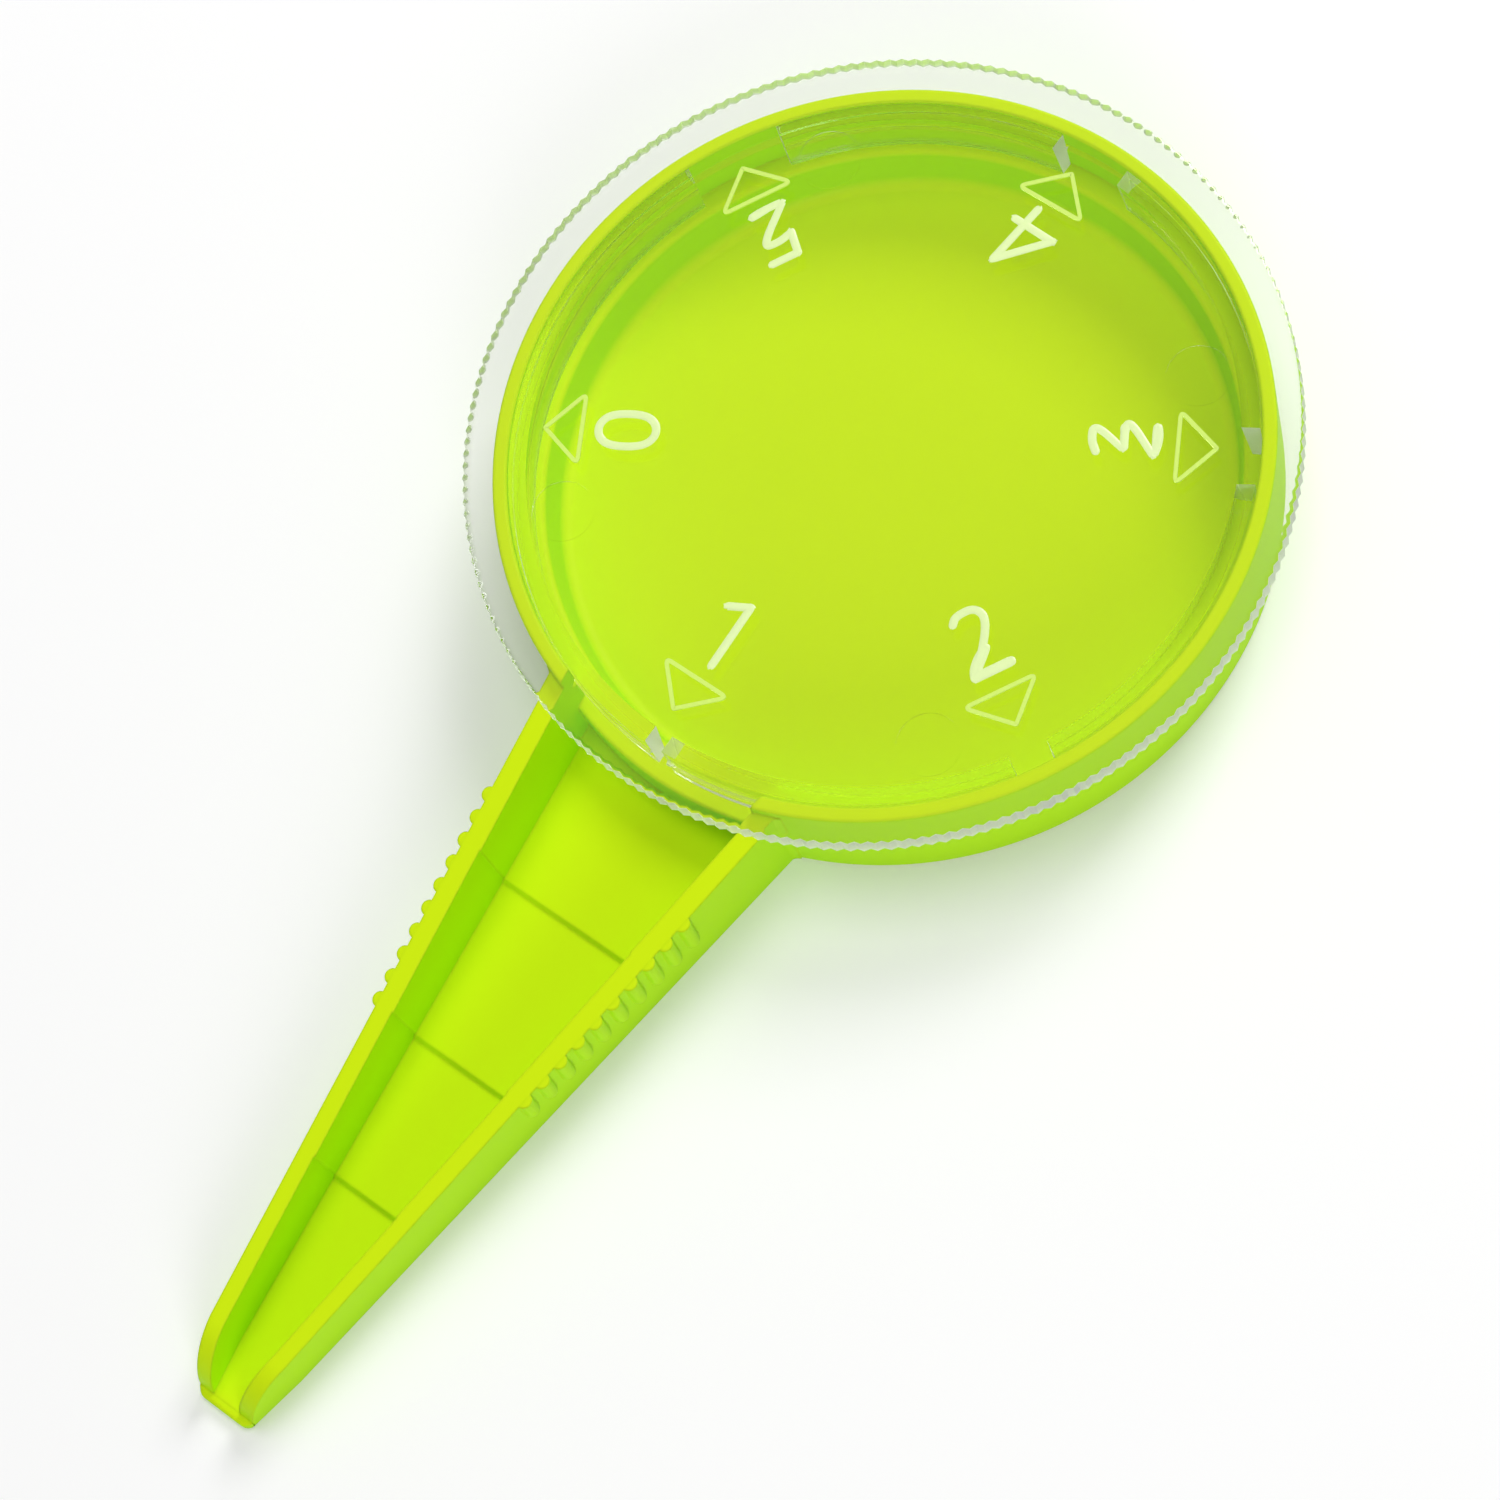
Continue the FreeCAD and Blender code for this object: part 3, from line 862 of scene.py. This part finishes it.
@dataclass
class DialLid:
    """The clear dial: serrated plate, skirt with a window for each setting, triangles and digits."""

    rim_height: float = 13.9
    radius: float = 43.0
    thickness: float = 2.4
    edge_bevel: float = 0.25
    tooth_count: int = 200
    tooth_depth: float = 0.24
    grip_depth: float = 0.72
    skirt_radius: float = 38.45
    skirt_foot: float = 7.25
    skirt_root_thickness: float = 1.85
    skirt_foot_thickness: float = 1.25
    bead_depth: float = 3.2
    bead_proud: float = 0.35
    plate_bite: float = 0.05
    smallest_window: float = 2.1
    window_growth: float = 2.0
    window_overrun: float = 1.4
    settings: Sequence[Digit] = (Digit.ONE, Digit.TWO, Digit.THREE, Digit.FOUR, Digit.FIVE, Digit.ZERO)
    apex_radius: float = 34.75
    pointer_length: float = 4.4
    pointer_width: float = 8.8
    pointer_corner_run: float = 1.25
    pointer_apex_run: float = 0.3
    line_width: float = 0.42
    line_proud: float = 0.2
    line_round: float = 0.09
    mark_gap: float = 0.003
    digit_radius: float = 25.6
    digit_stroke: float = 0.86
    digit_proud: float = 0.18
    bead_steps: int = 3
    curve_steps: int = 8
    curve_order: int = 3
    cap_shares: Sequence[float] = (0.4, 0.75, 0.95)
    weld: float = 0.001
    ejector_count: int = 4
    ejector_radius: float = 3.3
    ejector_reach: float = 32.9
    ejector_depth: float = 0.06
    ejector_sides: int = 64
    lid_smooth_degrees: float = 28.0
    pointer_smooth_degrees: float = 50.0
    digit_smooth_degrees: float = 60.0
    round_steps: int = 480

    @property
    def marks_foot(self) -> float:
        """Height at which the raised marks begin."""
        return self.rim_height + self.thickness + self.mark_gap

    @property
    def skirt_depth(self) -> float:
        """Depth of the hollow and of the windows, a little way up into the plate."""
        return self.rim_height + self.plate_bite - self.skirt_foot

    def setting_angle(self, index: int) -> float:
        """Turn of a setting from the chute's direction, in radians."""
        return index * math.tau / len(self.settings)

    def plate(self) -> Piece:
        """Makes the flat disc and presses the grip teeth into its edge.

        Returns:
            The serrated plate.
        """
        sides = 2 * self.tooth_count
        disc = cylinder(sides, self.radius, self.rim_height, self.rim_height + self.thickness)
        step = math.tau / sides
        with editing(disc):
            pick_edges(disc, lambda end: round(math.atan2(end.x, end.y) / step) % 2 == 1, upright=True)
            widen(1 - self.tooth_depth / self.radius)
            pick_edges(disc, lambda end: True, upright=False)
            bevel(self.edge_bevel, segments=2)
            pick_faces(disc, lambda face: abs(face.normal.z) > LEVEL)
            bpy.ops.mesh.inset(thickness=self.tooth_depth * MM)
        return disc

    def skirt(self) -> Piece:
        """Makes the skirt as a drum, adds the snap bead and hollows the drum from below.

        Returns:
            The skirt, which runs up into the plate.
        """
        drum = cylinder(self.round_steps, self.skirt_radius, self.skirt_foot,
                        self.rim_height + self.thickness / 2)
        bead = self.rim_height - self.bead_depth
        foot_inside = self.skirt_radius - self.skirt_foot_thickness
        with editing(drum):
            for offset in (-self.bead_proud, 0.0, self.bead_proud):
                slice_all((0, 0, bead + offset))
            pick_edges(drum, lambda end: abs(end.z - bead * MM) < NEAR)
            widen(1 + self.bead_proud / self.skirt_radius)
            pick_faces(drum, lambda face: face.normal.z < -LEVEL)
            bpy.ops.mesh.inset(thickness=self.skirt_foot_thickness * MM)
            bpy.ops.mesh.extrude_region_move(
                TRANSFORM_OT_translate={"value": (0, 0, self.skirt_depth * MM)})
            widen((self.skirt_radius - self.skirt_root_thickness) / foot_inside)
        return drum

    def window_cutter(self, index: int) -> Piece:
        """Makes the block that cuts one setting's window.

        Args:
            index: Place of the setting, counted from the smallest window.

        Returns:
            The block, standing through the skirt.
        """
        angle = self.setting_angle(index)
        width = self.smallest_window + self.window_growth * index
        depth = self.skirt_root_thickness + self.window_overrun
        reach = self.skirt_radius - self.skirt_root_thickness / 2
        bpy.ops.mesh.primitive_cube_add(
            size=1, location=(reach * math.sin(angle) * MM, -reach * math.cos(angle) * MM,
                              self.skirt_foot * MM),
            rotation=(0, 0, angle))
        cutter = bpy.context.object
        cutter.scale = (width * MM, depth * MM, 2 * self.skirt_depth * MM)
        return cutter

    def ejector_cutter(self, index: int) -> Piece:
        """Makes the disc that cuts one shallow ejector mark into the underside.

        Args:
            index: Place of the mark around the dial.

        Returns:
            The disc, half of it in the plate.
        """
        angle = math.tau / self.ejector_count * (index + 0.5)
        bpy.ops.mesh.primitive_cylinder_add(
            vertices=self.ejector_sides, radius=self.ejector_radius * MM,
            depth=2 * self.ejector_depth * MM,
            location=(self.ejector_reach * math.cos(angle) * MM,
                      self.ejector_reach * math.sin(angle) * MM, self.rim_height * MM))
        return bpy.context.object

    def pointer(self) -> Piece:
        """Makes the raised triangle of the first setting, which points outwards.

        Returns:
            The triangle's outline as a low ridge.
        """
        deselect_all()
        centre = self.apex_radius - self.pointer_length * 2 / 3
        bpy.ops.mesh.primitive_circle_add(
            vertices=3, radius=MM, fill_type="NGON", rotation=(0, 0, math.pi),
            location=(0, -centre * MM, self.marks_foot * MM))
        ridge = bpy.context.object
        # A triangle in a circle of radius 1 is as wide as the root of 3, and 1.5 long.
        ridge.scale = (self.pointer_width / math.sqrt(3), self.pointer_length / 1.5, 1)
        bpy.ops.object.transform_apply(location=True, rotation=True, scale=True)
        with editing(ridge):
            pick_points(ridge, lambda place: abs(place.x) > NEAR)
            bevel(self.pointer_corner_run, segments=6, points=True)
            pick_points(ridge, lambda place: abs(place.x) < NEAR and place.y < -centre * MM)
            bevel(self.pointer_apex_run, points=True)
            pick_faces(ridge, lambda face: True)
            bpy.ops.mesh.inset(thickness=self.line_width * MM)
            bpy.ops.mesh.delete(type="FACE")
            bpy.ops.mesh.select_all(action="SELECT")
            bpy.ops.mesh.normals_make_consistent(inside=False)
        outwards = math.copysign(1.0, ridge.data.polygons[0].normal.z)
        modify(ridge, "SOLIDIFY", thickness=self.line_proud * MM, offset=outwards)
        modify(ridge, "BEVEL", width=self.line_round * MM, segments=3, limit_method="ANGLE",
               angle_limit=math.radians(self.pointer_smooth_degrees))
        return ridge

    def pointers(self) -> list[Piece]:
        """Copies the raised triangle to every setting.

        Returns:
            The triangles, each with its own mesh.
        """
        ridges = [self.pointer()]
        for _ in self.settings[1:]:
            take(ridges[0])
            bpy.ops.object.duplicate(linked=False)
            ridges.append(bpy.context.object)
        for index, ridge in enumerate(ridges):
            ridge.matrix_world = Matrix.Rotation(self.setting_angle(index), 4, "Z")
            ridge.name = f"pointer_{self.settings[index].name.lower()}"
            finish(ridge, self.pointer_smooth_degrees, LINE)
        return ridges

    def digit(self, index: int) -> Piece:
        """Draws one setting's digit with flattened round strokes, its top towards the axis.

        Args:
            index: Place of the setting, counted from the smallest window.

        Returns:
            The digit as one mesh.
        """
        strokes = [self.stroke(stroke) for stroke in self.settings[index].value]
        figure = strokes[0]
        take(figure)
        for drawn in strokes:
            drawn.select_set(True)
        bpy.ops.object.join()
        figure.name = f"digit_{self.settings[index].name.lower()}"
        scale = Matrix.Diagonal((MM, MM, self.digit_proud / self.digit_stroke * MM, 1))
        lift = Matrix.Translation((0, -self.digit_radius * MM, self.marks_foot * MM))
        figure.matrix_world = Matrix.Rotation(self.setting_angle(index), 4, "Z") @ lift @ scale
        finish(figure, self.digit_smooth_degrees, STROKE)
        return figure

    def rounded_ends(self, stroke: Stroke) -> list[tuple[float, float, float]]:
        """Gives each point of a stroke its weight, with lighter points past both open ends.

        Args:
            stroke: The stroke's points and weight.

        Returns:
            Points as x, y and weight.
        """
        points = [Vector(point) for point in stroke.points]
        places = [(point.x, point.y, stroke.weight) for point in points]
        if stroke.closed:
            return places
        for end, inner, at in ((points[0], points[1], 0), (points[-1], points[-2], len(places))):
            outwards = (end - inner).normalized() * self.digit_stroke * stroke.weight / 2
            caps = [(*(end + outwards * share), stroke.weight * math.sqrt(1 - share ** 2))
                    for share in self.cap_shares]
            places[at:at] = caps if at else reversed(caps)
        return places

    def stroke(self, stroke: Stroke) -> Piece:
        """Draws one stroke as a round bead that rests on the ground plane, a metre for a millimetre.

        Args:
            stroke: The stroke's points and weight.

        Returns:
            The bead, closed at both ends.
        """
        curve = bpy.data.curves.new("stroke", "CURVE")
        curve.dimensions = "3D"
        curve.bevel_depth = self.digit_stroke / 2
        curve.bevel_resolution = self.bead_steps
        curve.use_fill_caps = True
        curve.resolution_u = self.curve_steps
        is_curved = len(stroke.points) > 2
        spline = curve.splines.new("NURBS" if is_curved else "POLY")
        places = self.rounded_ends(stroke)
        spline.points.add(len(places) - 1)
        for place, (x, y, weight) in zip(spline.points, places):
            place.co = (x, y, self.digit_stroke * stroke.weight / 2, 1)
            place.radius = weight
        spline.use_cyclic_u = stroke.closed
        if is_curved:
            spline.order_u = self.curve_order
            spline.use_endpoint_u = not stroke.closed
        drawn = bpy.data.objects.new("stroke", curve)
        bpy.context.scene.collection.objects.link(drawn)
        take(drawn)
        bpy.ops.object.convert(target="MESH")
        with editing(drawn):
            bpy.ops.mesh.select_all(action="SELECT")
            bpy.ops.mesh.remove_doubles(threshold=self.weld)
            bpy.ops.mesh.normals_make_consistent(inside=False)
        return drawn

    def has_frosted_glint(self, face: bpy.types.MeshPolygon) -> bool:
        """Tells the grip teeth and the ends of the windows from the polished faces.

        Args:
            face: A face of the lid.

        Returns:
            Whether the face gets the rough plastic whose pale diffuse part paints its glints.
        """
        place, normal = face.center, face.normal
        is_tooth = place.xy.length > (self.radius - self.grip_depth) * MM and abs(normal.z) < FLAT
        is_window_end = (place.z < self.rim_height * MM and abs(normal.z) < FACING
                         and abs(normal.xy.dot(place.xy.normalized())) < FACING)
        return is_tooth or is_window_end

    def build(self) -> list[Piece]:
        """Models the lid and its marks and puts them on the dial's body.

        Returns:
            All the pieces of the lid.
        """
        deselect_all()
        lid = self.plate()
        lid.name = "clear_lid"
        ring = self.skirt()
        for index in range(len(self.settings) - 1):
            combine(ring, self.window_cutter(index), Solid.CUT)
        combine(lid, ring, Solid.JOIN)
        for index in range(self.ejector_count):
            combine(lid, self.ejector_cutter(index), Solid.CUT)
        finish(lid, self.lid_smooth_degrees, CLEAR, FROSTED_GLINT)
        with editing(lid):
            pick_faces(lid, self.has_frosted_glint)
            lid.active_material_index = lid.data.materials.find(FROSTED_GLINT.name)
            bpy.ops.object.material_slot_assign()
        pieces = [lid, *self.pointers(), *(self.digit(index) for index in range(len(self.settings)))]
        for piece in pieces:
            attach(piece, "dial")
            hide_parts("dial_lid")
            piece.visible_shadow = piece.visible_diffuse = False
        return pieces


# ---- Studio ----

@dataclass(frozen=True)
class Lamp:
    """A soft square lamp: its place in metres, side in metres and power in watts."""

    name: str
    place: Place
    size: float
    power: float
    mirrored: bool = True

    def build(self) -> None:
        """Hangs the lamp so that it faces the origin, mirrored in the clear dial or not."""
        place = Vector(self.place)
        bpy.ops.object.light_add(type="AREA", location=place)
        lamp = bpy.context.object
        lamp.name = self.name
        lamp.data.size = self.size
        lamp.data.energy = self.power
        lamp.rotation_euler = (-place).to_track_quat("-Z", "Y").to_euler()
        lamp.visible_glossy = lamp.visible_transmission = self.mirrored


@dataclass
class Studio:
    """White table, soft lamps and the camera; the table's size is in metres."""

    floor_size: float = 1.5
    floor_colour: Colour = (0.89, 0.89, 0.89)
    floor_roughness: float = 0.9
    floor_lift: float = 0.1
    bounces: int = 24
    surround: float = 0.36
    ceiling: float = 0.2
    ceiling_starts: float = 0.15
    ceiling_full: float = 0.85
    camera_place: Place = (151.8, -100.8, 399.5)
    look_at: Place = (6.0, -32.25, 8.0)
    camera_roll: float = -30.0
    lens: float = 100.8
    sensor: float = 36.0
    lamps: Sequence[Lamp] = (
        Lamp("key_lamp", (-0.1, 0.85, 0.65), 0.4, 5.5),
        Lamp("fill_lamp", (0.7, -0.6, 0.4), 0.4, 3.0),
        Lamp("overhead_lamp", (-0.15, 0.2, 1.0), 0.5, 3.1, mirrored=False),
    )

    def floor(self) -> None:
        """Makes the white table top that the sower lies on."""
        deselect_all()
        bpy.ops.mesh.primitive_plane_add(size=self.floor_size, location=(0, 0, 0))
        table = bpy.context.object
        table.name = "table"
        material = bpy.data.materials.new("white_table")
        material.use_nodes = True
        tree = material.node_tree
        shader = tree.nodes["Principled BSDF"]
        set_values(shader, {
            "Roughness": self.floor_roughness, "Specular IOR Level": 0.0,
            "Base Color": (*self.floor_colour, 1.0), "Emission Color": WHITE})
        rays = add_node(tree, "LightPath")
        seen = add_node(tree, "Math", operation="MAXIMUM")
        mirrored = add_node(tree, "Math", operation="MAXIMUM")
        lift = add_node(tree, "Math", {1: self.floor_lift}, operation="MULTIPLY")
        add_wires(tree, (
            (rays, "Is Camera Ray", seen, 0), (rays, "Is Transmission Ray", seen, 1),
            (rays, "Is Glossy Ray", mirrored, 0), (seen, "Value", mirrored, 1),
            (mirrored, "Value", lift, 0), (lift, "Value", shader, "Emission Strength"),
        ))
        table.data.materials.append(material)

    def world(self) -> None:
        """Sets a pale room, which is mirrored with white walls and a dim ceiling."""
        surround = bpy.data.worlds.new("surround")
        surround.use_nodes = True
        tree = surround.node_tree
        background = tree.nodes["Background"]
        set_values(background, {"Color": WHITE})
        rays = add_node(tree, "LightPath")
        mirrored = add_node(tree, "Math", operation="MAXIMUM")
        direction = add_node(tree, "TexCoord")
        parts = add_node(tree, "SeparateXYZ")
        room = add_node(tree, "MapRange", {
            "From Min": self.ceiling_starts, "From Max": self.ceiling_full,
            "To Min": 1.0, "To Max": self.ceiling})
        around = add_node(tree, "Mix", {"A": self.surround})
        strength = add_node(tree, "Mix", {"B": 1.0})
        add_wires(tree, (
            (direction, "Generated", parts, "Vector"), (parts, "Z", room, "Value"),
            (rays, "Is Glossy Ray", mirrored, 0), (rays, "Is Transmission Ray", mirrored, 1),
            (mirrored, "Value", around, "Factor"), (room, "Result", around, "B"),
            (rays, "Is Camera Ray", strength, "Factor"), (around, "Result", strength, "A"),
            (strength, "Result", background, "Strength"),
        ))
        bpy.context.scene.world = surround

    def camera(self) -> None:
        """Sets up the camera, which looks down on the dial from beside the chute."""
        place = Vector(self.camera_place) * MM
        sight = Vector(self.look_at) * MM - place
        turn = sight.to_track_quat("-Z", "Y").to_matrix().to_4x4()
        bpy.ops.object.camera_add(location=place)
        camera = bpy.context.object
        camera.name = "camera"
        camera.matrix_world = Matrix.Translation(place) @ turn @ Matrix.Rotation(
            math.radians(self.camera_roll), 4, "Z")
        camera.data.sensor_width = self.sensor
        camera.data.lens = self.lens
        bpy.context.scene.camera = camera

    def build(self) -> None:
        """Sets the table, the lamps, the surround, the camera and the plain colour transform."""
        self.floor()
        for lamp in self.lamps:
            lamp.build()
        self.world()
        self.camera()
        bpy.context.scene.view_settings.view_transform = "Standard"
        paths = bpy.context.scene.cycles
        paths.max_bounces = paths.glossy_bounces = paths.transmission_bounces = self.bounces


def main() -> None:
    """Builds the tray and the lid, then the table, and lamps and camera."""
    logging.basicConfig(level=logging.INFO, format="%(name)s: %(message)s")
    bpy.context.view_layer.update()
    for builder in (SeedTray(), DialLid()):
        for piece in builder.build():
            LOG.info("%s: %d faces", piece.name, len(piece.data.polygons))
    Studio().build()


if __name__ == "__main__":
    main()
